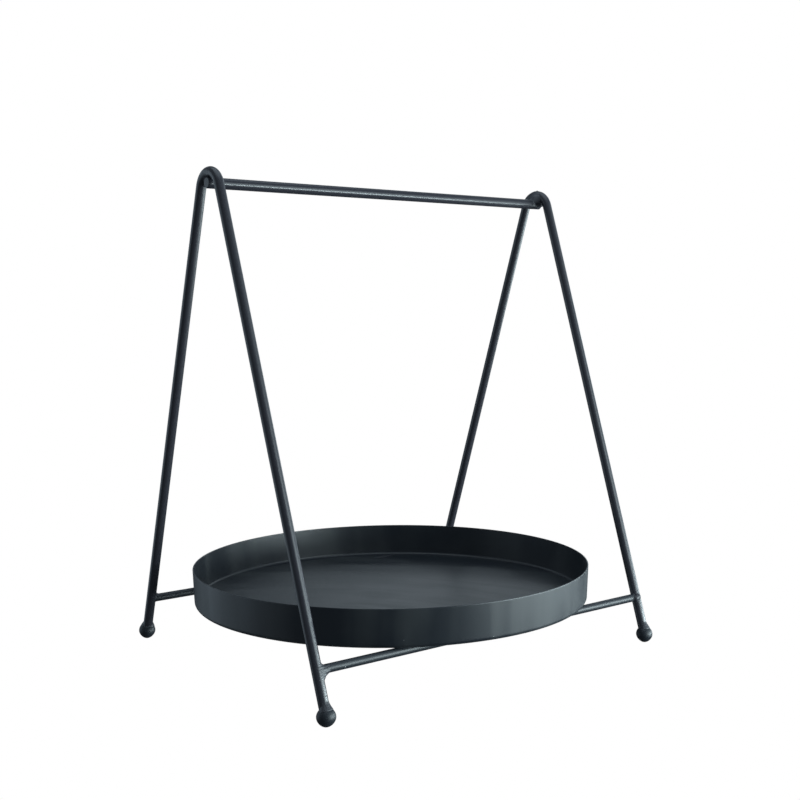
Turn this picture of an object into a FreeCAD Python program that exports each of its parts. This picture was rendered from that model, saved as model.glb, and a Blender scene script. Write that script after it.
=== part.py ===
"""Valet stand: two bent-rod end frames, a hanging rail, two lower bars, four ball feet and a pressed tray.

Units are millimetres. +Z is up, +X runs along the hanging rail and +Y towards the back.
The origin is on the surface the stand rests on, below the middle of the stand.
"""

import FreeCAD
import Part
import math
import os

Vector = FreeCAD.Vector

# ---- driving dimensions ----
overall_height = 300.0
leg_rod_diameter = 6.0
rail_diameter = 6.5
lower_bar_diameter = 5.0
foot_diameter = 10.6

foot_spacing_x = 247.0  # between the foot centres of the two end frames
foot_spacing_y = 216.0  # between the two foot centres of one end frame
rail_spacing_x = 256.5  # between the end frames at the rail: they splay outwards a little
rail_overhang = 2.4  # past the middle of the end frame's rod
bend_radius = 11.4  # of the rod's centreline, over the rail
rail_fit_up_gap = 0.3  # between the rail and the inside of the bend, filled by the weld

lower_bar_height = 28.2  # of the bar's axis above the floor
tray_diameter = 256.0  # over the rim
tray_height = 22.6
tray_sheet = 0.8
tray_draft = 2.5  # degrees that the wall leans outwards
tray_corner_radius = 2.4  # outside, between the floor and the wall
rim_edge_radius = 0.25
rod_end_chamfer = 0.4

# ---- welds ----
rail_weld_radius = 4.3
bar_weld_reach = 3.2  # how far the fillet runs along the lower bar
bar_weld_half_height = 5.6  # where the fillet leaves the leg
bar_weld_half_width = 2.9
bar_weld_cover = 0.25  # of the fillet over the bar at its tip
foot_weld_start = 2.2  # from the foot's centre, along the leg
foot_weld_start_radius = 4.35
foot_weld_shift = 0.6  # the bead is thicker on the outer side of the leg
foot_weld_end = 9.0
foot_weld_end_radius = 3.1
tack_radius = 1.9
tack_length = 12.0
tack_end_round = 1.6
tack_x = 62.0
tack_drop = 1.0  # of the tack's centre below the tray

# ---- worked out from the driving dimensions ----
leg_r = leg_rod_diameter / 2
rail_r = rail_diameter / 2
bar_r = lower_bar_diameter / 2
foot_r = foot_diameter / 2

apex_z = overall_height - leg_r  # of the rod's centreline at the top of the bend
rail_z = apex_z - leg_r - rail_fit_up_gap - rail_r
splay = math.atan((rail_spacing_x - foot_spacing_x) / 2 / (rail_z - foot_r))
apex_v = (apex_z - foot_r) / math.cos(splay)
bend_centre_v = apex_v - bend_radius
leg_reach = math.hypot(foot_spacing_y / 2, bend_centre_v)
leg_angle = math.atan2(foot_spacing_y / 2, bend_centre_v) - math.asin(bend_radius / leg_reach)
foot_seat = math.sqrt(foot_r**2 - leg_r**2)  # from the foot's centre to the flat the leg stands on
tray_bottom_z = lower_bar_height + bar_r

END_SIDES = {"left": -1, "right": 1}
LEG_SIDES = {"front": -1, "back": 1}


def frame_point(end, y, v):
    """A point in an end frame's leaning plane: y across it and v up it, from the foot centres."""
    x = foot_spacing_x / 2 + v * math.sin(splay)
    return Vector(end * x, y, foot_r + v * math.cos(splay))


def foot_centre(end, side):
    return frame_point(end, side * foot_spacing_y / 2, 0)


def leg_direction(end, side):
    """Unit vector up a leg's axis."""
    top = frame_point(end, side * (foot_spacing_y / 2 - math.sin(leg_angle)), math.cos(leg_angle))
    return (top - foot_centre(end, side)).normalize()


def leg_axis_at(end, side, z):
    """The point of a leg's axis at height z."""
    start = foot_centre(end, side)
    direction = leg_direction(end, side)
    return start + direction * ((z - start.z) / direction.z)


def rod(start, end, radius):
    axis = end - start
    return Part.makeCylinder(radius, axis.Length, start, axis)


def chamfered_rod(start, end, radius, chamfer):
    body = rod(start, end, radius)
    rings = [e for e in body.Edges if isinstance(e.Curve, Part.Circle)]
    return body.makeChamfer(chamfer, rings)


def make_end_frame(end):
    """One rod: front leg, tight bend over the rail, back leg."""
    tangent_y = bend_radius * math.cos(leg_angle)
    tangent_v = bend_centre_v + bend_radius * math.sin(leg_angle)
    ends = {s: foot_centre(end, s) + leg_direction(end, s) * foot_seat for s in LEG_SIDES.values()}
    bend_start = frame_point(end, -tangent_y, tangent_v)
    bend_top = frame_point(end, 0, apex_v)
    bend_end = frame_point(end, tangent_y, tangent_v)
    path = Part.Wire(
        [
            Part.LineSegment(ends[-1], bend_start).toShape(),
            Part.Arc(bend_start, bend_top, bend_end).toShape(),
            Part.LineSegment(bend_end, ends[1]).toShape(),
        ]
    )
    section = Part.Wire(Part.makeCircle(leg_r, ends[-1], leg_direction(end, -1)))
    return path.makePipeShell([section], True, False)


def make_rail():
    """The hanging rail: its ends stop a little short of the outer sides of the end frames."""
    half = rail_spacing_x / 2 + rail_overhang
    return chamfered_rod(Vector(-half, 0, rail_z), Vector(half, 0, rail_z), rail_r, rod_end_chamfer)


def make_lower_bar(side, end_frames):
    """A bar between the legs on one side, with its ends coped to the legs."""
    ends = [leg_axis_at(e, side, lower_bar_height) for e in (-1, 1)]
    bar = rod(ends[0], ends[1], bar_r)
    for end_frame in end_frames.values():
        bar = bar.cut(end_frame)
    return bar


def make_foot(end, side):
    """A ball with a small flat that the leg stands on."""
    centre = foot_centre(end, side)
    direction = leg_direction(end, side)
    cutter = Part.makeCylinder(foot_r, foot_r, centre + direction * foot_seat, direction)
    return Part.makeSphere(foot_r, centre).cut(cutter)


def make_tray():
    """A shallow pressed pan: flat floor, rounded corner, wall with a little draft, plain cut rim."""
    draft = math.radians(tray_draft)
    rim_r = tray_diameter / 2
    rim_z = tray_bottom_z + tray_height
    wall_up = Vector(math.sin(draft), 0, math.cos(draft))
    wall_out = Vector(math.cos(draft), 0, -math.sin(draft))
    rim_outer = Vector(rim_r, 0, rim_z)
    rim_inner = rim_outer - wall_out * tray_sheet
    # The corner's arc is tangent to the floor and to the leaning wall.
    centre_z = tray_bottom_z + tray_corner_radius
    slide = (rim_outer.z - (centre_z + wall_out.z * tray_corner_radius)) / wall_up.z
    wall_foot = rim_outer - wall_up * slide
    corner = wall_foot - wall_out * tray_corner_radius
    inner_radius = tray_corner_radius - tray_sheet

    def on_corner(radius, degrees_down):
        a = math.radians(degrees_down)
        return corner + Vector(math.cos(a), 0, -math.sin(a)) * radius

    middle = (tray_draft + 90) / 2
    floor_z = tray_bottom_z + tray_sheet
    outline = [
        Part.LineSegment(Vector(0, 0, tray_bottom_z), on_corner(tray_corner_radius, 90)),
        Part.Arc(on_corner(tray_corner_radius, 90), on_corner(tray_corner_radius, middle), wall_foot),
        Part.LineSegment(wall_foot, rim_outer),
        Part.LineSegment(rim_outer, rim_inner),
        Part.LineSegment(rim_inner, on_corner(inner_radius, tray_draft)),
        Part.Arc(
            on_corner(inner_radius, tray_draft),
            on_corner(inner_radius, middle),
            on_corner(inner_radius, 90),
        ),
        Part.LineSegment(on_corner(inner_radius, 90), Vector(0, 0, floor_z)),
        Part.LineSegment(Vector(0, 0, floor_z), Vector(0, 0, tray_bottom_z)),
    ]
    face = Part.Face(Part.Wire([piece.toShape() for piece in outline]))
    pan = face.revolve(Vector(0, 0, 0), Vector(0, 0, 1), 360)
    rim_edges = [e for e in pan.Edges if min(v.Z for v in e.Vertexes) > rim_z - tray_sheet / 2]
    rim_circles = [e for e in rim_edges if isinstance(e.Curve, Part.Circle)]
    return pan.makeFillet(rim_edge_radius, rim_circles)


def largest_solid(shape):
    return max(shape.Solids, key=lambda s: s.Volume)


def make_rail_weld(end, end_frame, rail):
    """Fillet round the place where the rail touches the inside of the bend."""
    touch = frame_point(end, 0, (rail_z + rail_r - foot_r) / math.cos(splay))
    return largest_solid(Part.makeSphere(rail_weld_radius, touch).cut(end_frame).cut(rail))


def make_bar_weld(end, side, end_frame, bar):
    """Fillet where a lower bar butts against a leg: tall and narrow at the leg, round at the bar."""
    leg_axis = leg_axis_at(end, side, lower_bar_height)
    tip = leg_axis + Vector(-end * (leg_r + bar_weld_reach), 0, 0)
    tip_r = bar_r + bar_weld_cover
    rings = []
    for centre, half_height, half_width in (
        (leg_axis, bar_weld_half_height, bar_weld_half_width),
        (tip, tip_r, tip_r - bar_weld_cover / 2),
    ):
        top = centre + Vector(0, 0, half_height)
        edge = centre + Vector(0, half_width, 0)
        rings.append(Part.Wire(Part.Ellipse(top, edge, centre).toShape()))
    bead = Part.makeLoft(rings, True, True)
    return largest_solid(bead.cut(end_frame).cut(bar))


def make_foot_weld(end, side, end_frame, foot):
    """Fillet between a leg and its ball foot, thicker on the outer side."""
    direction = leg_direction(end, side)
    start = foot_centre(end, side) + direction * foot_weld_start + Vector(0, side * foot_weld_shift, 0)
    finish = foot_centre(end, side) + direction * foot_weld_end
    rings = [
        Part.Wire(Part.makeCircle(foot_weld_start_radius, start, direction)),
        Part.Wire(Part.makeCircle(foot_weld_end_radius, finish, direction)),
    ]
    bead = Part.makeLoft(rings, True, True)
    return largest_solid(bead.cut(end_frame).cut(foot))


def make_tray_weld(end, side, bar):
    """Short tack in the crevice between the tray's underside and the inner side of a lower bar."""
    y = leg_axis_at(end, side, lower_bar_height).y - side * bar_r
    z = tray_bottom_z - tack_drop
    half = Vector(tack_length / 2, 0, 0)
    middle = Vector(end * tack_x, y, z)
    bead = rod(middle - half, middle + half, tack_radius)
    rings = [e for e in bead.Edges if isinstance(e.Curve, Part.Circle)]
    bead = bead.makeFillet(tack_end_round, rings)
    below_tray = Part.makeBox(
        2 * tack_length, 4 * tack_radius, 2 * tack_radius,
        Vector(middle.x - tack_length, y - 2 * tack_radius, tray_bottom_z - 2 * tack_radius),
    )
    return largest_solid(bead.common(below_tray).cut(bar))


def build():
    end_frames = {name: make_end_frame(end) for name, end in END_SIDES.items()}
    rail = make_rail()
    bars = {name: make_lower_bar(side, end_frames) for name, side in LEG_SIDES.items()}
    tray = make_tray()
    nodes = {"hanging_rail": rail, "tray": tray}
    for end_name, end in END_SIDES.items():
        end_frame = end_frames[end_name]
        nodes[f"{end_name}_end_frame"] = end_frame
        nodes[f"{end_name}_rail_weld"] = make_rail_weld(end, end_frame, rail)
        for side_name, side in LEG_SIDES.items():
            corner = f"{side_name}_{end_name}"
            bar = bars[side_name]
            foot = make_foot(end, side)
            nodes[f"{corner}_foot"] = foot
            nodes[f"{corner}_foot_weld"] = make_foot_weld(end, side, end_frame, foot)
            nodes[f"{corner}_bar_weld"] = make_bar_weld(end, side, end_frame, bar)
            nodes[f"{corner}_tray_weld"] = make_tray_weld(end, side, bar)
    for side_name, bar in bars.items():
        nodes[f"{side_name}_lower_bar"] = bar
    return nodes


def main():
    os.makedirs("parts", exist_ok=True)
    for name, shape in build().items():
        solid = largest_solid(shape)
        print(f"{name}: valid {solid.isValid()}, solids {len(shape.Solids)}, volume {solid.Volume:.1f} mm3")
        solid.exportStep(f"parts/{name}.step")


main()
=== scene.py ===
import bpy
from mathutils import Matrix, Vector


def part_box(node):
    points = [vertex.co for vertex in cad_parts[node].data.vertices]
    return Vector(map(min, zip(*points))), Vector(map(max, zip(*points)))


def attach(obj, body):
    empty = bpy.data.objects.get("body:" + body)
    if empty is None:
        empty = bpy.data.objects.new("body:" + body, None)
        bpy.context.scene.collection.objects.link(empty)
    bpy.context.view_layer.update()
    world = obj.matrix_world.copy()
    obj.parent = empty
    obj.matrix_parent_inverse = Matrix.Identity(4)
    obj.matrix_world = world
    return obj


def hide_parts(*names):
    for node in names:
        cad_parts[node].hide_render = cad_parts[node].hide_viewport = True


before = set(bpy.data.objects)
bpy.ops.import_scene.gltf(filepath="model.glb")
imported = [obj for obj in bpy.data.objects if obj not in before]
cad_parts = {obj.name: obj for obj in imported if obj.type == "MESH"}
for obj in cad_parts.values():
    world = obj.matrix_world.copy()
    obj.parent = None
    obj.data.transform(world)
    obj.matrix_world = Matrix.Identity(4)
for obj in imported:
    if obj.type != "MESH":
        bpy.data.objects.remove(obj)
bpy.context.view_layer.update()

import math

import bmesh
import bpy
from mathutils import Matrix, Vector, noise

scene = bpy.context.scene
# lengths are in metres; left and right are along x, front and back along y
ends = {"left": -1, "right": 1}
sides = {"front": -1, "back": 1}


class Wire:
    # a node socket that can be used in sums: 1 - mask adds its own Math node
    def __init__(self, tree, socket=None):
        self.tree = tree
        self.socket = socket

    def node(self, kind, settings=None, values=None, out=0):
        made = self.tree.nodes.new(kind)
        for key, value in (settings or {}).items():
            if key == "stops":
                ramp = made.color_ramp.elements
                for spare in list(ramp)[1:]:
                    ramp.remove(spare)
                for index, (place, shade) in enumerate(value):
                    stop = ramp[0] if index == 0 else ramp.new(place)
                    stop.position = place
                    stop.color = shade
            else:
                setattr(made, key, value)
        for key, value in (values or {}).items():
            if isinstance(value, Wire):
                self.tree.links.new(value.socket, made.inputs[key])
            else:
                made.inputs[key].default_value = value
        return Wire(self.tree, made.outputs[out])

    def maths(self, operation, *values):
        return self.node("ShaderNodeMath", {"operation": operation}, dict(enumerate(values)))

    def arrows(self, operation, *values, out=0):
        return self.node("ShaderNodeVectorMath", {"operation": operation}, dict(enumerate(values)), out)

    def stretched(self, factor):
        return self.node("ShaderNodeVectorMath", {"operation": "SCALE"}, {0: self, "Scale": factor})

    def clamped(self, low=0.0, high=1.0):
        return self.maths("MINIMUM", self.maths("MAXIMUM", self, low), high)

    def __add__(self, other):
        return self.maths("ADD", self, other)

    def __radd__(self, other):
        return self.maths("ADD", other, self)

    def __sub__(self, other):
        return self.maths("SUBTRACT", self, other)

    def __rsub__(self, other):
        return self.maths("SUBTRACT", other, self)

    def __mul__(self, other):
        return self.maths("MULTIPLY", self, other)

    def __rmul__(self, other):
        return self.maths("MULTIPLY", other, self)

    def __truediv__(self, other):
        return self.maths("DIVIDE", self, other)

    def __neg__(self):
        return self.maths("MULTIPLY", self, -1.0)


cameraView = {
    "place": (-0.4557, -0.6200, 0.2203),
    "turn": 38.65,      # degrees from looking straight back towards looking right
    "tilt": 4.12,       # degrees below level
    "roll": -0.25,
    "lens": 53.45,
    "shiftX": -0.0500,
    "shiftY": -0.0125,
    "sensorWidth": 36,
    "clipStart": 0.01,
    "clipEnd": 50,
}


def makeCamera(view):
    turn, tilt, roll = (math.radians(view[key]) for key in ("turn", "tilt", "roll"))
    level = Vector((math.sin(turn), math.cos(turn), 0))
    ahead = level * math.cos(tilt) - Vector((0, 0, math.sin(tilt)))
    right = Vector((math.cos(turn), -math.sin(turn), 0))
    up = right.cross(ahead)
    rightRolled = right * math.cos(roll) + up * math.sin(roll)
    upRolled = up * math.cos(roll) - right * math.sin(roll)
    data = bpy.data.cameras.new("camera")
    data.lens = view["lens"]
    data.sensor_width = view["sensorWidth"]
    data.shift_x = view["shiftX"]
    data.shift_y = view["shiftY"]
    data.clip_start = view["clipStart"]
    data.clip_end = view["clipEnd"]
    camera = bpy.data.objects.new("camera", data)
    columns = Matrix((rightRolled, upRolled, -ahead)).transposed().to_4x4()
    camera.matrix_world = Matrix.Translation(view["place"]) @ columns
    scene.collection.objects.link(camera)
    scene.camera = camera
    print("camera placed")


makeCamera(cameraView)


endFrameSpec = {
    "rodRadius": 0.003, "bendRadius": 0.0114, "bendSteps": 36, "sides": 40,
    "endRound": 0.0004, "pitch": 0.012,
}


def boxMiddle(node):
    low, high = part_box(node)
    return (low + high) / 2, (high - low) / 2


footMiddle, footHalf = boxMiddle("front_right_foot")
railMiddle, railHalf = boxMiddle("hanging_rail")
barMiddle, barHalf = boxMiddle("front_lower_bar")
trayMiddle, trayHalf = boxMiddle("tray")
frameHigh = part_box("right_end_frame")[1]
legR = endFrameSpec["rodRadius"]
footR = footHalf.x
railR = railHalf.z
barR = barHalf.z
footX = footMiddle.x
footY = -footMiddle.y
apexX = frameHigh.x - legR
apexZ = frameHigh.z - legR
lean = math.atan2(apexX - footX, apexZ - footR)
apexV = (apexZ - footR) / math.cos(lean)
bendV = apexV - endFrameSpec["bendRadius"]
legReach = math.hypot(footY, bendV)
legAngle = math.atan2(footY, bendV) - math.asin(endFrameSpec["bendRadius"] / legReach)


def framePoint(end, y, v):
    # y across an end frame and v up its leaning plane, from the level of the foot centres
    return Vector((end * (footX + v * math.sin(lean)), y, footR + v * math.cos(lean)))


def footCentre(end, side):
    return framePoint(end, side * footY, 0)


def legUp(end, side):
    onward = framePoint(end, side * (footY - math.sin(legAngle)), math.cos(legAngle))
    return (onward - footCentre(end, side)).normalized()


def legAt(end, side, z):
    start = footCentre(end, side)
    up = legUp(end, side)
    return start + up * ((z - start.z) / up.z)


def newMaterial(name):
    material = bpy.data.materials.new(name)
    material.use_nodes = True
    tree = material.node_tree
    tree.nodes.clear()
    return material, Wire(tree)


def mixed(wire, share, first, second):
    return wire.node("ShaderNodeMix", {"data_type": "RGBA"}, {0: share, 6: first, 7: second}, out=2)


def scattered(wire, place, scale, share, channel):
    # the distance to the nearest of many points, and a mask that keeps a share of them
    cells = {"Vector": place, "Scale": scale}
    gap = wire.node("ShaderNodeTexVoronoi", None, cells)
    shade = wire.node("ShaderNodeTexVoronoi", None, cells, out="Color")
    chance = wire.node("ShaderNodeSeparateColor", None, {0: shade}, out=channel)
    return gap, wire.maths("GREATER_THAN", chance, 1 - share)


def clothSmear(wire, place, wipe):
    # dull arcs left by a cloth swung about a point beyond the rim
    fromElbow = wire.arrows("SUBTRACT", place, wipe["elbow"])
    east = wire.node("ShaderNodeSeparateXYZ", None, {0: fromElbow})
    north = wire.node("ShaderNodeSeparateXYZ", None, {0: fromElbow}, out="Y")
    reach = wire.maths("SQRT", east * east + north * north)
    turn = wire.maths("ARCTAN2", north, east)
    swung = wire.node("ShaderNodeCombineXYZ", None, {"X": reach * wipe["across"], "Y": turn * wipe["along"]})
    arcs = {"Vector": swung, "Scale": 1.0, "Detail": wipe["arcDetail"], "Distortion": wipe["wander"]}
    smear = wire.node("ShaderNodeTexNoise", None, arcs)
    spots = {"Vector": place, "Scale": wipe["patchScale"], "Detail": 2.0}
    patch = wire.node("ShaderNodeTexNoise", None, spots)
    both = smear * wipe["arcShare"] + patch * (1 - wipe["arcShare"])
    return ((both - wipe["from"]) / (wipe["to"] - wipe["from"])).clamped()


def paintMaterial(name, look):
    material, wire = newMaterial(name)
    place = wire.node("ShaderNodeTexCoord", out="Object")
    cloud, grain, peel = (
        wire.node("ShaderNodeTexNoise", None, {"Vector": place, "Scale": look[scale], "Detail": detail})
        for scale, detail in (("cloudScale", 4.0), ("grainScale", 2.0), ("peelScale", 1.0))
    )
    # nibs of dust caught under the paint
    nibGap, nibKept = scattered(wire, place, look["nibScale"], look["nibShare"], 0)
    nib = (1 - nibGap / look["nibSize"]).clamped() * nibKept
    # paler bare specks, rarer than the nibs
    speckGap, speckKept = scattered(wire, place, look["speckScale"], look["speckShare"], 1)
    speck = wire.maths("LESS_THAN", speckGap, look["speckSize"]) * speckKept
    mottle = (cloud * look["cloudShare"] + grain * (1 - look["cloudShare"])).clamped()
    colour = mixed(wire, mottle, (*look["deep"], 1), (*look["pale"], 1))
    roughness = look["roughness"] + (cloud - 0.5) * look["roughnessDrift"]
    roughness = roughness + (grain - 0.5) * look["roughnessGrain"]
    if "dryEnd" in look:
        # the coat is drier, so duller, towards one end
        ahead = wire.node("ShaderNodeSeparateXYZ", None, {0: place})
        start, finish = look["dryEnd"]["from"], look["dryEnd"]["to"]
        roughness = roughness + ((ahead - start) / (finish - start)).clamped() * look["dryEnd"]["roughness"]
    if "wipe" in look:
        smear = clothSmear(wire, place, look["wipe"])
        roughness = roughness + smear * look["wipe"]["roughness"]
        colour = mixed(wire, smear * look["wipe"]["share"], colour, (*look["wipe"]["dust"], 1))
    # the few chips that show bare metal, each at its own place
    for chipPlace, chipSize in look["chips"]:
        gap = wire.arrows("DISTANCE", place, chipPlace, out="Value")
        chip = wire.maths("LESS_THAN", gap + (grain - 0.5) * chipSize, chipSize)
        speck = wire.maths("MAXIMUM", speck, chip)
    colour = mixed(wire, speck, colour, (*look["speckColour"], 1))
    height = peel * look["peelHeight"] + grain * look["grainHeight"] + nib * look["nibHeight"]
    bump = wire.node("ShaderNodeBump", None, {"Strength": look["bump"], "Distance": 1.0, "Height": height})
    sockets = {
        "Base Color": colour,
        "Roughness": roughness.clamped(look["leastRoughness"], 1.0),
        "Normal": bump,
        "IOR": look["ior"],
        "Specular IOR Level": look["specular"],
    }
    linkSurface(wire, wire.node("ShaderNodeBsdfPrincipled", None, sockets))
    return material


def linkSurface(wire, shader):
    output = wire.tree.nodes.new("ShaderNodeOutputMaterial")
    wire.tree.links.new(shader.socket, output.inputs["Surface"])


rodLook = {
    "deep": (0.020, 0.020, 0.026),
    "pale": (0.027, 0.027, 0.034),
    "roughness": 0.30,
    "roughnessDrift": 0.05,
    "roughnessGrain": 0.02,
    "leastRoughness": 0.05,
    "ior": 1.5,
    "specular": 0.5,
    "cloudScale": 45.0,
    "cloudShare": 0.7,
    "grainScale": 1400.0,
    "peelScale": 520.0,
    "peelHeight": 0.000007,
    "grainHeight": 0.0000015,
    "nibScale": 420.0,
    "nibSize": 0.16,
    "nibShare": 0.05,
    "nibHeight": 0.000012,
    "speckScale": 260.0,
    "speckSize": 0.09,
    "speckShare": 0.002,
    "speckColour": (0.35, 0.36, 0.36),
    "bump": 0.35,
    "chips": (((-0.1074, -0.1025, 0.0277), 0.00032), ((-0.1218, -0.1052, 0.0175), 0.00022)),
}
# a darker base than the rods' paint, kept for the tray, the bars and the feet; on the bars, which sit in the
# tray's shade, it is painted shade
darkAndShadedCoat = {"deep": (0.0070, 0.0098, 0.0140), "pale": (0.0105, 0.0140, 0.0190)}
trayLook = dict(
    rodLook,
    **darkAndShadedCoat,
    roughness=0.37,
    roughnessDrift=0.03,
    speckShare=0.0004,
    roughnessGrain=0.06,
    cloudScale=22.0,
    chips=(
        ((-0.0218, -0.1252, 0.0335), 0.00040),
        ((-0.0626, -0.1106, 0.0320), 0.00034),
        ((-0.0707, -0.1058, 0.0360), 0.00020),
    ),
    wipe={
        "elbow": (-0.20, -0.13, 0.0),
        "across": 62.0,
        "along": 3.0,
        "arcDetail": 5.0,
        "wander": 0.4,
        "arcShare": 0.6,
        "patchScale": 19.0,
        "from": 0.47,
        "to": 0.60,
        "roughness": 0.09,
        "dust": (0.034, 0.038, 0.040),
        "share": 0.50,
    },
)
railLook = dict(
    rodLook, roughness=0.27, bump=0.05, specular=0.32, chips=(),
    dryEnd={"from": 0.02, "to": 0.12, "roughness": 0.14},
)
# the bars' darker base is painted shade from the tray above them
shadedBarLook = dict(rodLook, **darkAndShadedCoat, roughness=0.50, bump=0.5)
footLook = dict(rodLook, **darkAndShadedCoat, roughness=0.50, specular=0.42, bump=0.5, chips=())
# the welds' base is paler than the rods': painted light that lifts the welds out of the shade of their joints
paintedLightWeldLook = dict(
    rodLook, roughness=0.50, bump=0.8, chips=(), peelScale=800.0, peelHeight=0.000016, nibShare=0.15,
    deep=(0.024, 0.025, 0.031), pale=(0.034, 0.035, 0.042),
)
# paler still: painted light on the filler under each bend, which sits in shade
paintedLightFillLook = dict(paintedLightWeldLook, roughness=0.60, deep=(0.050, 0.051, 0.060), pale=(0.078, 0.079, 0.090))

rodPaint = paintMaterial("rodPaint", rodLook)
railPaint = paintMaterial("railPaint", railLook)
barPaint = paintMaterial("barPaint", shadedBarLook)
trayPaint = paintMaterial("trayPaint", trayLook)
weldPaint = paintMaterial("weldPaint", paintedLightWeldLook)
fillPaint = paintMaterial("fillPaint", paintedLightFillLook)
footPaint = paintMaterial("footPaint", footLook)
print("paint mixed")


def finishPiece(piece, slot, *nodes):
    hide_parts(*nodes)
    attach(piece, "root")
    return piece


def meshPiece(name, mesh, material):
    mesh.name = name
    mesh.materials.clear()
    mesh.materials.append(material)
    mesh.polygons.foreach_set("use_smooth", [True] * len(mesh.polygons))
    piece = bpy.data.objects.new(name, mesh)
    scene.collection.objects.link(piece)
    return piece


def newTree(name, inputs):
    tree = bpy.data.node_groups.new(name, "GeometryNodeTree")
    tree.interface.new_socket("Geometry", in_out="INPUT", socket_type="NodeSocketGeometry")
    for label, kind in inputs.items():
        tree.interface.new_socket(label, in_out="INPUT", socket_type="NodeSocket" + kind)
    tree.interface.new_socket("Geometry", in_out="OUTPUT", socket_type="NodeSocketGeometry")
    entry = tree.nodes.new("NodeGroupInput")
    return tree, Wire(tree), {item.name: Wire(tree, item) for item in entry.outputs if item.name}


def endTree(wire, geometry, material):
    # every tree ends by making instances real and setting the material
    smooth = wire.node("GeometryNodeSetShadeSmooth", None, {0: geometry})
    real = wire.node("GeometryNodeRealizeInstances", None, {0: smooth})
    painted = wire.node("GeometryNodeSetMaterial", None, {"Geometry": real, "Material": material})
    output = wire.tree.nodes.new("NodeGroupOutput")
    wire.tree.links.new(painted.socket, output.inputs[0])


def growPiece(name, tree, values, mesh=None):
    # runs a tree once and keeps its result as a plain mesh
    piece = bpy.data.objects.new(name, mesh or bpy.data.meshes.new(name))
    scene.collection.objects.link(piece)
    modifier = piece.modifiers.new(name, "NODES")
    modifier.node_group = tree
    sockets = {item.name: item.identifier for item in tree.interface.items_tree if item.in_out == "INPUT"}
    for label, value in values.items():
        modifier[sockets[label]] = value
    evaluated = piece.evaluated_get(bpy.context.evaluated_depsgraph_get())
    result = bpy.data.meshes.new_from_object(evaluated)
    piece.modifiers.remove(modifier)
    piece.data = result
    result.name = name
    return piece


def rodTree():
    tree, wire, given = newTree(
        "rodAlongPath",
        {"Radius": "Float", "End Round": "Float", "Sides": "Int", "Material": "Material"},
    )
    path = wire.node("GeometryNodeMeshToCurve", None, {0: given["Geometry"]})
    along = wire.node("GeometryNodeSplineParameter", out="Length")
    whole = wire.node("GeometryNodeSplineLength", out="Length")
    fromEnd = wire.maths("MINIMUM", along, whole - along)
    missing = 1 - (fromEnd / given["End Round"]).clamped()
    drop = 1 - wire.maths("SQRT", (1 - missing * missing).clamped())
    radius = given["Radius"] - drop * given["End Round"]
    circle = {"Resolution": given["Sides"], "Radius": 1.0}
    section = wire.node("GeometryNodeCurvePrimitiveCircle", None, circle)
    values = {"Curve": path, "Profile Curve": section, "Scale": radius, "Fill Caps": True}
    tube = wire.node("GeometryNodeCurveToMesh", None, values)
    endTree(wire, tube, given["Material"])
    return tree


def pathMesh(name, points):
    mesh = bpy.data.meshes.new(name)
    mesh.from_pydata([tuple(p) for p in points], [(i, i + 1) for i in range(len(points) - 1)], [])
    return mesh


edgeTurns = range(0, 90, 15)   # degrees round the edge of a rod's end
edgePoints = len(edgeTurns)


def roundedRun(start, finish, endRound, pitch):
    # points close together at both ends, where the rod's edge is rounded, and evenly spaced between
    whole = (finish - start).length
    near = [endRound * (1 - math.cos(math.radians(a))) for a in edgeTurns]
    steps = max(2, round((whole - 2 * endRound) / pitch))
    middle = [endRound + (whole - 2 * endRound) * i / steps for i in range(steps + 1)]
    places = near + middle + [whole - d for d in reversed(near)]
    return [start + (finish - start) * (d / whole) for d in places]


def makeEndFrame(name, end, tree):
    spec = endFrameSpec
    seat = math.sqrt(footR**2 - legR**2)
    tangentY = spec["bendRadius"] * math.cos(legAngle)
    tangentV = bendV + spec["bendRadius"] * math.sin(legAngle)
    frontSeat, backSeat = (footCentre(end, side) + legUp(end, side) * seat for side in (-1, 1))
    frontTop, backTop = (framePoint(end, side * tangentY, tangentV) for side in (-1, 1))
    frontLeg = roundedRun(frontSeat, frontTop, spec["endRound"], spec["pitch"])
    backLeg = roundedRun(backTop, backSeat, spec["endRound"], spec["pitch"])
    sweep = math.pi - 2 * legAngle
    bend = []
    for step in range(1, spec["bendSteps"]):
        turn = math.pi - legAngle - sweep * step / spec["bendSteps"]
        y, v = math.cos(turn) * spec["bendRadius"], math.sin(turn) * spec["bendRadius"]
        bend.append(framePoint(end, y, bendV + v))
    # the rounded spacing is only wanted at the feet
    points = frontLeg[:-edgePoints] + [frontLeg[-1]] + bend + [backLeg[0]] + backLeg[edgePoints:]
    piece = growPiece(
        name + "EndFrame", tree,
        {"Radius": legR, "End Round": spec["endRound"], "Sides": spec["sides"], "Material": rodPaint},
        pathMesh(name, points),
    )
    return finishPiece(piece, "rod_paint", name + "_end_frame")


railSpec = {"sides": 44, "endRound": 0.0005, "pitch": 0.010}
barSpec = {"sides": 36, "endRound": 0.0002, "pitch": 0.010, "intoLeg": 0.0012}


def makeStraightRod(name, node, start, finish, radius, spec, paint, tree):
    piece = growPiece(
        name, tree,
        {"Radius": radius, "End Round": spec["endRound"], "Sides": spec["sides"], "Material": paint},
        pathMesh(name, roundedRun(start, finish, spec["endRound"], spec["pitch"])),
    )
    return finishPiece(piece, "rod_paint", node)


rods = rodTree()
for label, end in ends.items():
    makeEndFrame(label, end, rods)
railReach = Vector((railHalf.x, 0, 0))
railEnds = railMiddle - railReach, railMiddle + railReach
makeStraightRod("hangingRail", "hanging_rail", *railEnds, railR, railSpec, railPaint, rods)
for label, side in sides.items():
    legHere = legAt(1, side, barMiddle.z)
    reach = Vector((legHere.x - legR + barSpec["intoLeg"], 0, 0))
    middle = Vector((0, legHere.y, barMiddle.z))
    barEnds = middle - reach, middle + reach
    makeStraightRod(label + "LowerBar", label + "_lower_bar", *barEnds, barR, barSpec, barPaint, rods)
print("rods drawn")


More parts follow.
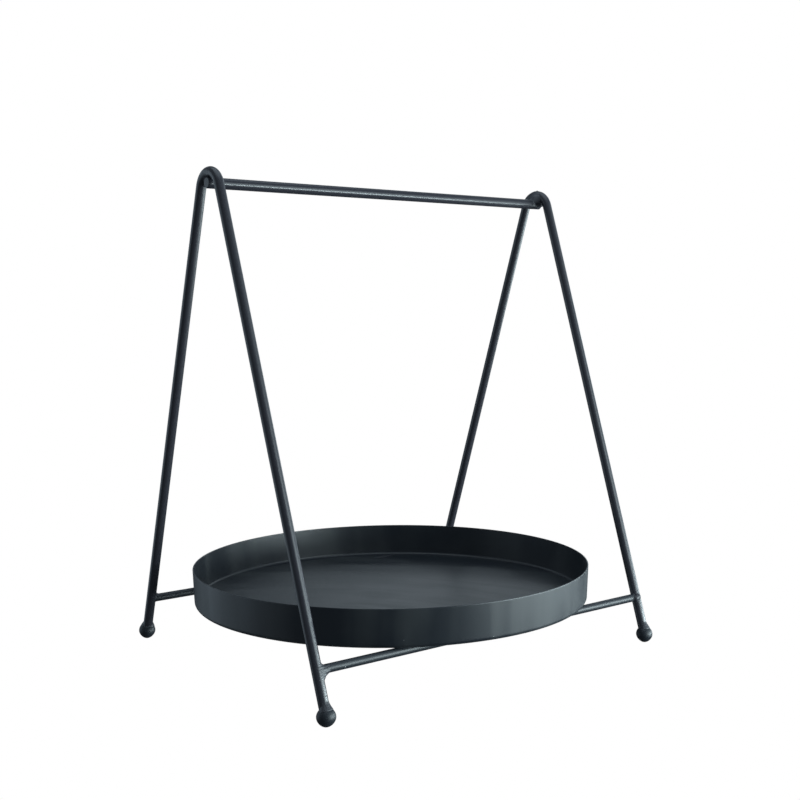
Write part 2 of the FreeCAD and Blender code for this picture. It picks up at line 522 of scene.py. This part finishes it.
traySpec = {
    "sheet": 0.0008,
    "cornerRadius": 0.0024,   # outside
    "draft": 2.5,             # degrees
    "slope": (-0.0034, -0.0034),   # it was welded on a fraction of a degree off level
    "shift": (-0.0006, 0.0005, -0.0001),
    "rimRound": 0.00028,
    "rimSteps": 5,
    "segments": 320,
    "cornerSteps": 10,
    "cornerInset": 0.0004,    # where the flat floor ends, inside the corner's centre
    "wallRings": (0.03, 0.2, 0.4, 0.6, 0.8, 0.97),   # shares of the wall's height
    "floorRings": (0.012, 0.035, 0.060, 0.085, 0.105, 0.117, 0.1228),
    "floorWave": 0.00006,
    "wallWave": 0.00004,
    "wallFade": 4,            # powers: the wall's waves die away inwards, the floor's outwards
    "floorFade": 8,
    "waveScale": 18.0,
    "rippleScale": 36.0,
    "rippleLevel": 3.0,
}


def arcPoints(centre, radius, start, finish, steps):
    # r and z of points on an arc, angles in degrees above the r axis
    points = []
    for step in range(steps + 1):
        angle = math.radians(start + (finish - start) * step / steps)
        points.append((centre[0] + radius * math.cos(angle), centre[1] + radius * math.sin(angle)))
    return points


def trayProfile(spec):
    bottom, top = trayMiddle.z - trayHalf.z, trayMiddle.z + trayHalf.z
    rimR = trayHalf.x
    draft = math.radians(spec["draft"])
    outR, sheet, edge = spec["cornerRadius"], spec["sheet"], spec["rimRound"]
    wallFootZ = bottom + outR - math.sin(draft) * outR
    wallFootR = rimR - (top - wallFootZ) * math.tan(draft)
    corner = (wallFootR - math.cos(draft) * outR, bottom + outR)
    down = -spec["draft"]
    inside = [(r, bottom + sheet) for r in spec["floorRings"]]
    inside.append((corner[0] - spec["cornerInset"], bottom + sheet))
    inside += arcPoints(corner, outR - sheet, -90, down, spec["cornerSteps"])
    outside = arcPoints(corner, outR, down, -90, spec["cornerSteps"])
    outside.append((corner[0] - spec["cornerInset"], bottom))
    outside += [(r, bottom) for r in reversed(spec["floorRings"])]

    def onWall(height, offset):
        # a point of the leaning wall, offset inwards from its outer face
        r = wallFootR + (height - wallFootZ) * math.tan(draft) - offset * math.cos(draft)
        return r, height + offset * math.sin(draft)

    heights = [wallFootZ + (top - edge - wallFootZ) * share for share in spec["wallRings"]]
    innerWall = [onWall(h, sheet) for h in heights]
    outerWall = [onWall(h, 0) for h in reversed(heights)]
    innerEdge = onWall(top - edge, sheet - edge)
    outerEdge = onWall(top - edge, edge)
    rim = arcPoints(innerEdge, edge, 180, 90, spec["rimSteps"])
    rim += arcPoints(outerEdge, edge, 90, 0, spec["rimSteps"])
    return inside + innerWall + rim + outerWall + outside, bottom + sheet, bottom


def makeTray(spec):
    profile, floorZ, bottomZ = trayProfile(spec)
    mesh = bmesh.new()
    rings = []
    for r, z in profile:
        ring = []
        for step in range(spec["segments"]):
            angle = 2 * math.pi * step / spec["segments"]
            ring.append(mesh.verts.new((r * math.cos(angle), r * math.sin(angle), z)))
        rings.append(ring)
    for inner, outer in zip(rings, rings[1:]):
        for step in range(spec["segments"]):
            after = (step + 1) % spec["segments"]
            mesh.faces.new((inner[step], outer[step], outer[after], inner[after]))
    for ring, z, flip in ((rings[0], floorZ, False), (rings[-1], bottomZ, True)):
        pole = mesh.verts.new((0, 0, z))
        for step in range(spec["segments"]):
            after = (step + 1) % spec["segments"]
            fan = (pole, ring[step], ring[after])
            mesh.faces.new(tuple(reversed(fan)) if flip else fan)
    # pressed sheet is never quite flat or round
    rimR = trayHalf.x
    for vert in mesh.verts:
        across = Vector((vert.co.x, vert.co.y, 0))
        swell = noise.noise(vert.co * spec["waveScale"])
        ripple = noise.noise(Vector((across.x, across.y, spec["rippleLevel"])) * spec["rippleScale"])
        inside = min(1.0, across.length / rimR)
        if across.length > 0:
            vert.co += across.normalized() * swell * spec["wallWave"] * inside ** spec["wallFade"]
        vert.co.z += ripple * spec["floorWave"] * (1 - inside ** spec["floorFade"])
        vert.co.z += vert.co.x * spec["slope"][0] + vert.co.y * spec["slope"][1]
        vert.co += Vector(spec["shift"])
    bmesh.ops.recalc_face_normals(mesh, faces=mesh.faces)
    data = bpy.data.meshes.new("trayPan")
    mesh.to_mesh(data)
    mesh.free()
    piece = meshPiece("trayPan", data, trayPaint)
    return finishPiece(piece, "tray_paint", "tray")


makeTray(traySpec)
print("tray pressed")


footSpec = {
    "rounds": 5, "lump": 0.00016, "lumpScale": 130.0, "dent": 0.00001, "dentScale": 420.0,
    "noiseStep": (3.1, 5.7, 1.3), "taper": 0.10, "taperPower": 1.5, "smoothBelow": 0.9,
}


def makeFoot(name, end, side, spec):
    middle = footCentre(end, side)
    mesh = bmesh.new()
    bmesh.ops.create_icosphere(mesh, subdivisions=spec["rounds"], radius=footR)
    stepX, stepY, stepZ = spec["noiseStep"]
    shift = Vector((end * stepX, side * stepY, stepZ))
    for vert in mesh.verts:
        out = vert.co.normalized()
        lump = noise.noise(vert.co * spec["lumpScale"] + shift) * spec["lump"]
        dent = noise.noise(vert.co * spec["dentScale"] + shift) * spec["dent"]
        low = max(0.0, -out.z - spec["smoothBelow"]) / (1 - spec["smoothBelow"])
        vert.co += out * (lump + dent) * (1 - low)
        narrow = 1 - spec["taper"] * min(1.0, max(0.0, -out.z)) ** spec["taperPower"]
        vert.co.x *= narrow
        vert.co.y *= narrow
        vert.co += middle
        vert.co.z = max(vert.co.z, 0.0)
    data = bpy.data.meshes.new(name)
    mesh.to_mesh(data)
    mesh.free()
    return meshPiece(name, data, footPaint)


for endLabel, end in ends.items():
    for sideLabel, side in sides.items():
        foot = makeFoot(sideLabel + endLabel.capitalize() + "Foot", end, side, footSpec)
        finishPiece(foot, "rod_paint", f"{sideLabel}_{endLabel}_foot")
print("feet set")


weldInputs = {
    "Blend": "Float",
    "Sink": "Float",
    "Depth": "Float",
    "Reach": "Float",
    "Bias": "Vector",
    "Reach Start": "Vector",
    "Reach End": "Vector",
    "Bead": "Vector",
    "Bead End": "Vector",
    "Bead Radius": "Float",
    "Bead Blend": "Float",
    "Lump": "Float",
    "Lump Scale": "Float",
    "Ripple": "Float",
    "Ripple Step": "Vector",
    "Low": "Vector",
    "High": "Vector",
    "Cells": "Int",
    "Material": "Material",
}


weldSkin = {
    "fade": 0.0020,       # the filler thins over this distance from its edge
    "fadeDrop": 0.00015,
    "thinBlend": 0.08,    # share of the blend left on the thin side
    "sharpness": 1000,
    "crumbFaces": 400.0,  # islands with fewer faces are dropped
}


def rodGap(wire, place, start, finish, radius):
    # distance from a point to a rod's surface; a rod of no length is a ball
    run = wire.arrows("SUBTRACT", finish, start)
    away = wire.arrows("SUBTRACT", place, start)
    along = wire.arrows("DOT_PRODUCT", away, run, out="Value")
    share = along / wire.arrows("DOT_PRODUCT", run, run, out="Value")
    nearest = wire.arrows("SUBTRACT", away, run.stretched(share.clamped()))
    return wire.arrows("LENGTH", nearest, out="Value") - radius


def bendGap(wire, place, centre, axis, bendRadius, radius):
    away = wire.arrows("SUBTRACT", place, centre)
    height = wire.arrows("DOT_PRODUCT", away, axis, out="Value")
    flat = wire.arrows("SUBTRACT", away, axis.stretched(height))
    ring = wire.arrows("LENGTH", flat, out="Value") - bendRadius
    return wire.maths("SQRT", ring * ring + height * height) - radius


def plateGap(wire, place, height):
    level = wire.node("ShaderNodeSeparateXYZ", None, {0: place}, out="Z")
    return height - level


def blended(wire, first, second, width):
    # the nearer of two skins, rounded where they meet
    overlap = (1 - wire.maths("ABSOLUTE", first - second) / width).clamped()
    return wire.maths("MINIMUM", first, second) - overlap * overlap * width * 0.25


def weldTree(name, extra, firstGap, secondGap):
    # filler laid between two parts: their blended skin, less the parts themselves
    tree, wire, given = newTree(name, {**weldInputs, **extra})
    place = wire.node("GeometryNodeInputPosition")
    first = firstGap(wire, place, given)
    second = secondGap(wire, place, given)
    bead = rodGap(wire, place, given["Bead"], given["Bead End"], given["Bead Radius"])
    lumps = {"Vector": place, "Scale": given["Lump Scale"], "Detail": 2.0}
    cloud = wire.node("ShaderNodeTexNoise", None, lumps)
    wave = wire.maths("SINE", wire.arrows("DOT_PRODUCT", place, given["Ripple Step"], out="Value"))
    # the filler is laid more thickly towards one side of the joint
    offset = wire.arrows("SUBTRACT", place, given["Reach Start"])
    aside = wire.arrows("DOT_PRODUCT", offset, given["Bias"], out="Value")
    width = given["Blend"] * (aside + 0.5).clamped(weldSkin["thinBlend"], 1.0)
    skin = blended(wire, blended(wire, first, second, width), bead, given["Bead Blend"])
    zone = rodGap(wire, place, given["Reach Start"], given["Reach End"], given["Reach"])
    inner = (-zone / weldSkin["fade"]).clamped()
    uneven = (cloud - 0.5) * given["Lump"] + wave * given["Ripple"]
    skin = skin + given["Sink"] + (1 - inner) * weldSkin["fadeDrop"] - uneven * inner
    hollow = wire.maths("MAXIMUM", -(first + given["Depth"]), -(second + given["Depth"]))
    solid = wire.maths("MAXIMUM", wire.maths("MAXIMUM", skin, zone), hollow)
    density = (0.5 - solid * weldSkin["sharpness"]).clamped()
    room = {"Density": density, "Background": 0.0, "Min": given["Low"], "Max": given["High"]}
    room.update({"Resolution " + axis: given["Cells"] for axis in "XYZ"})
    cube = wire.node("GeometryNodeVolumeCube", None, room)
    shell = wire.node("GeometryNodeVolumeToMesh", None, {"Volume": cube, "Threshold": 0.5})
    island = wire.node("GeometryNodeInputMeshIsland", out="Island Index")
    counted = wire.node(
        "GeometryNodeAccumulateField", {"domain": "FACE"}, {"Value": 1.0, "Group ID": island}, out="Total"
    )
    limits = {"A": counted, "B": weldSkin["crumbFaces"]}
    crumb = wire.node("FunctionNodeCompare", {"operation": "LESS_THAN"}, limits)
    dropped = {"Geometry": shell, "Selection": crumb}
    whole = wire.node("GeometryNodeDeleteGeometry", {"domain": "FACE"}, dropped)
    endTree(wire, whole, given["Material"])
    return tree


rodInputs = {
    label: {label + " Start": "Vector", label + " End": "Vector", label + " Radius": "Float"}
    for label in "AB"
}
bendInputs = {"Bend Centre": "Vector", "Bend Axis": "Vector", "Bend Radius": "Float", "A Radius": "Float"}


def rodNamed(label):
    def gap(wire, place, given):
        return rodGap(wire, place, *(given[f"{label} {part}"] for part in ("Start", "End", "Radius")))
    return gap


def bendNamed(wire, place, given):
    return bendGap(wire, place, *(given[part] for part in bendInputs))


def plateNamed(wire, place, given):
    return plateGap(wire, place, given["Plate Height"])


twoRods = weldTree("weldBetweenRods", {**rodInputs["A"], **rodInputs["B"]}, rodNamed("A"), rodNamed("B"))
bendAndRod = weldTree("weldUnderBend", {**bendInputs, **rodInputs["B"]}, bendNamed, rodNamed("B"))
plateInputs = {"Plate Height": "Float"}
rodAndPlate = weldTree("tackUnderPlate", {**rodInputs["A"], **plateInputs}, rodNamed("A"), plateNamed)


def growWeld(name, node, tree, spec, spot, values, paint=weldPaint):
    half = Vector([spec["room"]] * 3)
    shared = {
        "Blend": spec["blend"], "Sink": spec["sink"], "Depth": spec["depth"], "Reach": spec["reach"],
        "Bead Radius": spec["beadRadius"], "Bead Blend": spec["beadBlend"],
        "Lump": spec["lump"], "Lump Scale": spec["lumpScale"], "Ripple": spec["ripple"],
        "Low": spot - half, "High": spot + half, "Cells": spec["cells"], "Material": paint,
    }
    piece = growPiece(name, tree, {**shared, **values})
    return finishPiece(piece, "weld_paint", node)


footWeldSpec = {
    "blend": 0.0038, "sink": 0.00003, "depth": 0.0005, "reach": 0.0054, "room": 0.0062, "cells": 66,
    "beadRadius": 0.0007, "beadBlend": 0.0010, "up": 0.0060, "out": 0.0026, "bias": (117.0, 234.0),
    "legFrom": 0.6,   # share of the ball's radius
    "legTo": 0.03,
    "lump": 0.00014, "lumpScale": 420.0, "ripple": 0.00002, "rippleTurns": 5200.0,
}
# each corner was welded by hand, so each bead has its own place: inwards, outwards and up from the joint
barWeldSpecs = {
    "front_left": {
        "blend": 0.0048, "beadRadius": 0.0011, "beadBlend": 0.0030, "bias": (0, 0, 0),
        "bead": (0.0014, 0.0002, -0.0018), "beadEnd": (-0.0002, 0.0004, -0.0032), "ripple": 0.00005,
    },
    "front_right": {
        "blend": 0.0012, "beadRadius": 0.0020, "beadBlend": 0.0006, "bias": (0, 0, 0),
        "bead": (-0.0024, 0.0025, 0.0008), "beadEnd": (-0.0006, 0.0023, 0.0001), "ripple": 0.00003,
    },
    "back_left": {
        "blend": 0.0014, "beadRadius": 0.0013, "beadBlend": 0.0018, "bias": (0, 0, 0),
        "bead": (0.0004, 0.0014, 0.0018), "beadEnd": (0.0002, 0.0016, -0.0016), "ripple": 0.00003,
    },
    "back_right": {
        "blend": 0.0026, "beadRadius": 0.0015, "beadBlend": 0.0024, "bias": (0, 0, 0),
        "bead": (0.0008, 0.0008, -0.0026), "beadEnd": (0.0001, 0.0008, -0.0044), "ripple": 0.00004,
    },
}
barWeldShared = {
    "alongLeg": 0.02, "alongBar": 0.03,
    "sink": 0.00003, "depth": 0.0005, "reach": 0.0070, "room": 0.0080, "cells": 80,
    "lump": 0.00022, "lumpScale": 380.0, "rippleTurns": 4200.0,
}
railWeldSpecs = {
    "left": {
        "blend": 0.0020, "beadRadius": 0.0013, "beadBlend": 0.0020, "bias": (0, 160.0, 0),
        "bead": (0.0006, 0.0038, -0.0020), "beadEnd": (0.0022, 0.0032, -0.0010), "ripple": 0.00005,
    },
    "right": {
        "blend": 0.0070, "beadRadius": 0.0026, "beadBlend": 0.0030, "bias": (0, -60.0, 0),
        "bead": (0.0034, -0.0022, 0.0004), "beadEnd": (-0.0010, -0.0050, -0.0024), "ripple": 0.00030,
    },
}
railWeldShared = {
    "alongRail": 0.03,
    "sink": 0.00003, "depth": 0.0005, "reach": 0.0074, "room": 0.0084, "cells": 84,
    "lump": 0.00022, "lumpScale": 380.0, "rippleTurns": 3220.0,
}
tackSpec = {
    "blend": 0.0030, "sink": 0.00003, "depth": 0.0004, "reach": 0.0028, "room": 0.0105, "cells": 90,
    "beadRadius": 0.0012, "beadBlend": 0.0016, "length": 0.011, "drop": 0.0010, "bias": (0, 0, 0),
    "alongBar": 0.1, "reachShare": 0.8, "beadShare": 0.7,
    "lump": 0.00035, "lumpScale": 420.0, "ripple": 0.00012, "rippleTurns": 3600.0,
}


def makeFootWeld(end, side, name, node, spec):
    up = legUp(end, side)
    ball = footCentre(end, side)
    spot = ball + up * spec["up"]
    bead = spot + Vector((0, side * spec["out"], 0))
    return growWeld(name, node, twoRods, spec, spot, {
        "A Start": ball + up * footR * spec["legFrom"], "A End": ball + up * spec["legTo"], "A Radius": legR,
        "B Start": ball, "B End": ball, "B Radius": footR,
        "Bias": Vector((spec["bias"][0], side * spec["bias"][1], 0)),
        "Reach Start": spot, "Reach End": spot, "Bead": bead, "Bead End": bead,
        "Ripple Step": up.cross(Vector((0, side, 0))).normalized() * spec["rippleTurns"],
    })


def makeBarWeld(end, side, name, node, spec):
    axis = legAt(end, side, barMiddle.z)
    up = legUp(end, side)
    spot = axis + Vector((-end * legR, 0, 0))

    def fromSpot(step):
        return spot + Vector((-end * step[0], side * step[1], 0)) + up * step[2]

    return growWeld(name, node, twoRods, spec, spot, {
        "A Start": axis - up * spec["alongLeg"], "A End": axis + up * spec["alongLeg"], "A Radius": legR,
        "B Start": spot, "B End": spot + Vector((-end * spec["alongBar"], 0, 0)), "B Radius": barR,
        "Bias": Vector(spec["bias"]),
        "Reach Start": spot, "Reach End": spot,
        "Bead": fromSpot(spec["bead"]), "Bead End": fromSpot(spec["beadEnd"]),
        "Ripple Step": up * spec["rippleTurns"],
    })


def makeRailWeld(end, name, node, spec):
    centre = framePoint(end, 0, bendV)
    across = Vector((math.cos(lean), 0, -end * math.sin(lean)))
    spot = framePoint(end, 0, apexV - legR)

    def fromSpot(step):
        return spot + Vector((-end * step[0], step[1], step[2]))

    start = Vector((end * railHalf.x, 0, railMiddle.z))
    return growWeld(name, node, bendAndRod, spec, spot, {
        "Bend Centre": centre, "Bend Axis": across,
        "Bend Radius": endFrameSpec["bendRadius"], "A Radius": legR,
        "B Start": start - Vector((end * railR, 0, 0)),
        "B End": start - Vector((end * spec["alongRail"], 0, 0)),
        "B Radius": railR, "Bias": Vector(spec["bias"]),
        "Reach Start": spot, "Reach End": spot,
        "Bead": fromSpot(spec["bead"]), "Bead End": fromSpot(spec["beadEnd"]),
        "Ripple Step": Vector((spec["rippleTurns"], spec["rippleTurns"], 0)),
    }, fillPaint)


def makeTack(side, name, node, spec):
    middle = boxMiddle(node)[0]
    plate = trayMiddle.z - trayHalf.z
    barY = legAt(1, side, barMiddle.z).y
    run = Vector((spec["length"] / 2, 0, 0))
    spot = Vector((middle.x, middle.y, plate - spec["drop"]))
    return growWeld(name, node, rodAndPlate, spec, spot, {
        "A Start": Vector((-spec["alongBar"], barY, barMiddle.z)),
        "A End": Vector((spec["alongBar"], barY, barMiddle.z)), "A Radius": barR,
        "Plate Height": plate, "Bias": Vector(spec["bias"]),
        "Reach Start": spot - run * spec["reachShare"], "Reach End": spot + run * spec["reachShare"],
        "Bead": spot - run * spec["beadShare"], "Bead End": spot + run * spec["beadShare"],
        "Ripple Step": Vector((spec["rippleTurns"], 0, 0)),
    })


for endLabel, end in ends.items():
    railSpecHere = {**railWeldShared, **railWeldSpecs[endLabel]}
    makeRailWeld(end, endLabel + "RailWeld", endLabel + "_rail_weld", railSpecHere)
    for sideLabel, side in sides.items():
        corner = f"{sideLabel}_{endLabel}"
        label = sideLabel + endLabel.capitalize()
        makeFootWeld(end, side, label + "FootWeld", corner + "_foot_weld", footWeldSpec)
        barSpecHere = {**barWeldShared, **barWeldSpecs[corner]}
        makeBarWeld(end, side, label + "BarWeld", corner + "_bar_weld", barSpecHere)
        makeTack(side, label + "TrayTack", corner + "_tray_weld", tackSpec)
print("welds laid")


# droplets on a few small squares: heights up a leg and the way the squares face, or a place on a bend
spatterSpecs = {
    "frontLeftSpatter": {
        "end": -1, "side": -1, "heights": (0.015, 0.019, 0.023), "facing": (-0.15, -0.99, 0), "sunk": 0.00008,
        "size": 0.00024, "spread": 0.0026, "density": 2.4e5, "seed": 4,
    },
    "frontRightSpatter": {
        "end": 1, "side": -1, "heights": (0.031, 0.036), "facing": (-0.5, -0.86, 0), "sunk": 0.00008,
        "size": 0.00024, "spread": 0.0026, "density": 1.6e5, "seed": 7,
    },
    "rightBendSpatter": {
        "end": 1, "y": -0.0006, "facing": (0, 0, 1), "sunk": 0.0001,
        "size": 0.00065, "spread": 0.0004, "density": 8.0e6, "seed": 3,
    },
}
dropSizes = {"smallest": 0.35, "largest": 1.0, "rounds": 3}


def spatterTree():
    inputs = {"Size": "Float", "Seed": "Int", "Density": "Float", "Material": "Material"}
    tree, wire, given = newTree("weldSpatter", inputs)
    dots = wire.node(
        "GeometryNodeDistributePointsOnFaces", None,
        {"Mesh": given["Geometry"], "Density": given["Density"], "Seed": given["Seed"]},
    )
    drop = wire.node("GeometryNodeMeshIcoSphere", None, {"Radius": 1.0, "Subdivisions": dropSizes["rounds"]})
    choice = {2: dropSizes["smallest"], 3: dropSizes["largest"], "Seed": given["Seed"]}
    size = wire.node("FunctionNodeRandomValue", None, choice, out=1)
    strewn = {"Points": dots, "Instance": drop, "Scale": size * given["Size"]}
    placed = wire.node("GeometryNodeInstanceOnPoints", None, strewn)
    endTree(wire, placed, given["Material"])
    return tree


def spatterPatches(spec):
    # the middle of each square, and the way it faces
    out = Vector(spec["facing"]).normalized()
    if "y" in spec:
        return [(framePoint(spec["end"], spec["y"], apexV + legR - spec["sunk"]), out)]
    skin = out * (legR - spec["sunk"])
    return [(legAt(spec["end"], spec["side"], height) + skin, out) for height in spec["heights"]]


def makeSpatter(name, tree, spec):
    mesh = bmesh.new()
    for middle, facing in spatterPatches(spec):
        east = facing.orthogonal().normalized() * spec["spread"]
        north = facing.cross(east).normalized() * spec["spread"]
        corners = [middle + east, middle + north, middle - east, middle - north]
        mesh.faces.new([mesh.verts.new(corner) for corner in corners])
    data = bpy.data.meshes.new(name)
    mesh.to_mesh(data)
    mesh.free()
    values = {"Size": spec["size"], "Seed": spec["seed"], "Density": spec["density"], "Material": weldPaint}
    piece = growPiece(name, tree, values, data)
    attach(piece, "root")


drops = spatterTree()
for label, spec in spatterSpecs.items():
    makeSpatter(label, drops, spec)
print("spatter dropped")


floorSpec = {"radius": 14.0, "segments": 96, "glow": 1.0}
lampAim = (0, 0, 0.12)
lightSpecs = {
    "windowStrip": {
        "around": 60, "height": 0.25, "distance": 1.20, "size": (0.76, 0.90),
        "power": 8.4, "tint": (0.84, 1.0, 1.04),
    },
    "rightStrip": {
        "around": 79, "height": 0.05, "distance": 1.00, "size": (0.86, 0.14),
        "power": 12.0, "tint": (0.84, 1.0, 1.04),
    },
    "rightSoft": {
        "around": 92, "height": 0.50, "distance": 1.30, "size": (1.20, 1.00),
        "power": 2.7, "tint": (0.84, 1.0, 1.08),
    },
    "backStrip": {
        "around": 112, "height": 0.0, "distance": 1.00, "size": (0.60, 0.24),
        "power": 2.9, "tint": (0.84, 1.0, 1.04),
    },
    "leftSoft": {
        "around": -100, "height": 0.15, "distance": 1.30, "size": (1.5, 1.2),
        "power": 3.5, "tint": (0.80, 1.0, 1.16),
    },
    "behindLow": {
        "around": 147, "height": 0.22, "distance": 1.10, "size": (0.50, 0.26),
        "power": 0.9, "tint": (0.84, 1.0, 1.04),
    },
    "behindSoft": {
        "around": 161, "height": 0.85, "distance": 1.50, "size": (1.6, 0.9),
        "power": 2.8, "tint": (0.87, 1.0, 1.06),
    },
    "topSoft": {
        "around": 0, "height": 1.50, "distance": 0.05, "size": (1.4, 1.4),
        "power": 6.5, "tint": (0.84, 1.0, 1.12),
    },
}
skySpec = {
    "below": 0.10, "level": 0.18, "above": 0.24, "riseSlope": 4, "fallSlope": 2,
    "tint": (0.84, 1.0, 1.16, 1), "seen": 1.0,
}


def makeFloor(spec):
    # bright enough to stay plain white under the stand
    material, wire = newMaterial("paleFloor")
    glow = wire.node("ShaderNodeEmission", None, {"Color": (1, 1, 1, 1), "Strength": spec["glow"]})
    linkSurface(wire, glow)
    mesh = bmesh.new()
    bmesh.ops.create_circle(mesh, cap_ends=True, radius=spec["radius"], segments=spec["segments"])
    data = bpy.data.meshes.new("floor")
    mesh.to_mesh(data)
    mesh.free()
    floor = meshPiece("floor", data, material)
    # the paint is lit by the lamps and the sky alone
    floor.visible_glossy = False
    floor.visible_diffuse = False
    floor.visible_shadow = False


def makeLight(name, spec):
    turn = math.radians(cameraView["turn"])
    towards = Vector((-math.sin(turn), -math.cos(turn), 0))
    right = Vector((math.cos(turn), -math.sin(turn), 0))
    around = math.radians(spec["around"])
    place = (towards * math.cos(around) + right * math.sin(around)) * spec["distance"]
    place.z = spec["height"]
    data = bpy.data.lights.new(name, "AREA")
    data.shape = "RECTANGLE"
    data.size, data.size_y = spec["size"]
    data.energy = spec["power"]
    data.color = spec["tint"]
    lamp = bpy.data.objects.new(name, data)
    lamp.location = place
    aim = Vector(lampAim) - place
    lamp.rotation_euler = aim.to_track_quat("-Z", "Y").to_euler()
    lamp.visible_camera = False
    scene.collection.objects.link(lamp)


def makeSky(spec):
    world = bpy.data.worlds.new("sky")
    world.use_nodes = True
    world.node_tree.nodes.clear()
    wire = Wire(world.node_tree)
    direction = wire.node("ShaderNodeTexCoord", out="Generated")
    level = wire.node("ShaderNodeSeparateXYZ", None, {0: direction}, out="Z")
    rise = (level * spec["riseSlope"] + 0.5).clamped()
    fall = (level * spec["fallSlope"] - 0.5).clamped()
    strength = spec["below"] + rise * (spec["level"] - spec["below"]) + fall * (spec["above"] - spec["level"])
    lit = wire.node("ShaderNodeBackground", None, {"Color": spec["tint"], "Strength": strength})
    seen = wire.node("ShaderNodeBackground", None, {"Color": (1, 1, 1, 1), "Strength": spec["seen"]})
    cameraRay = wire.node("ShaderNodeLightPath", out="Is Camera Ray")
    both = wire.node("ShaderNodeMixShader", None, {0: cameraRay, 1: lit, 2: seen})
    output = world.node_tree.nodes.new("ShaderNodeOutputWorld")
    world.node_tree.links.new(both.socket, output.inputs["Surface"])
    scene.world = world


makeFloor(floorSpec)
for label, spec in lightSpecs.items():
    makeLight(label, spec)
makeSky(skySpec)
scene.view_settings.view_transform = "Standard"
scene.view_settings.look = "None"
print("lights on")
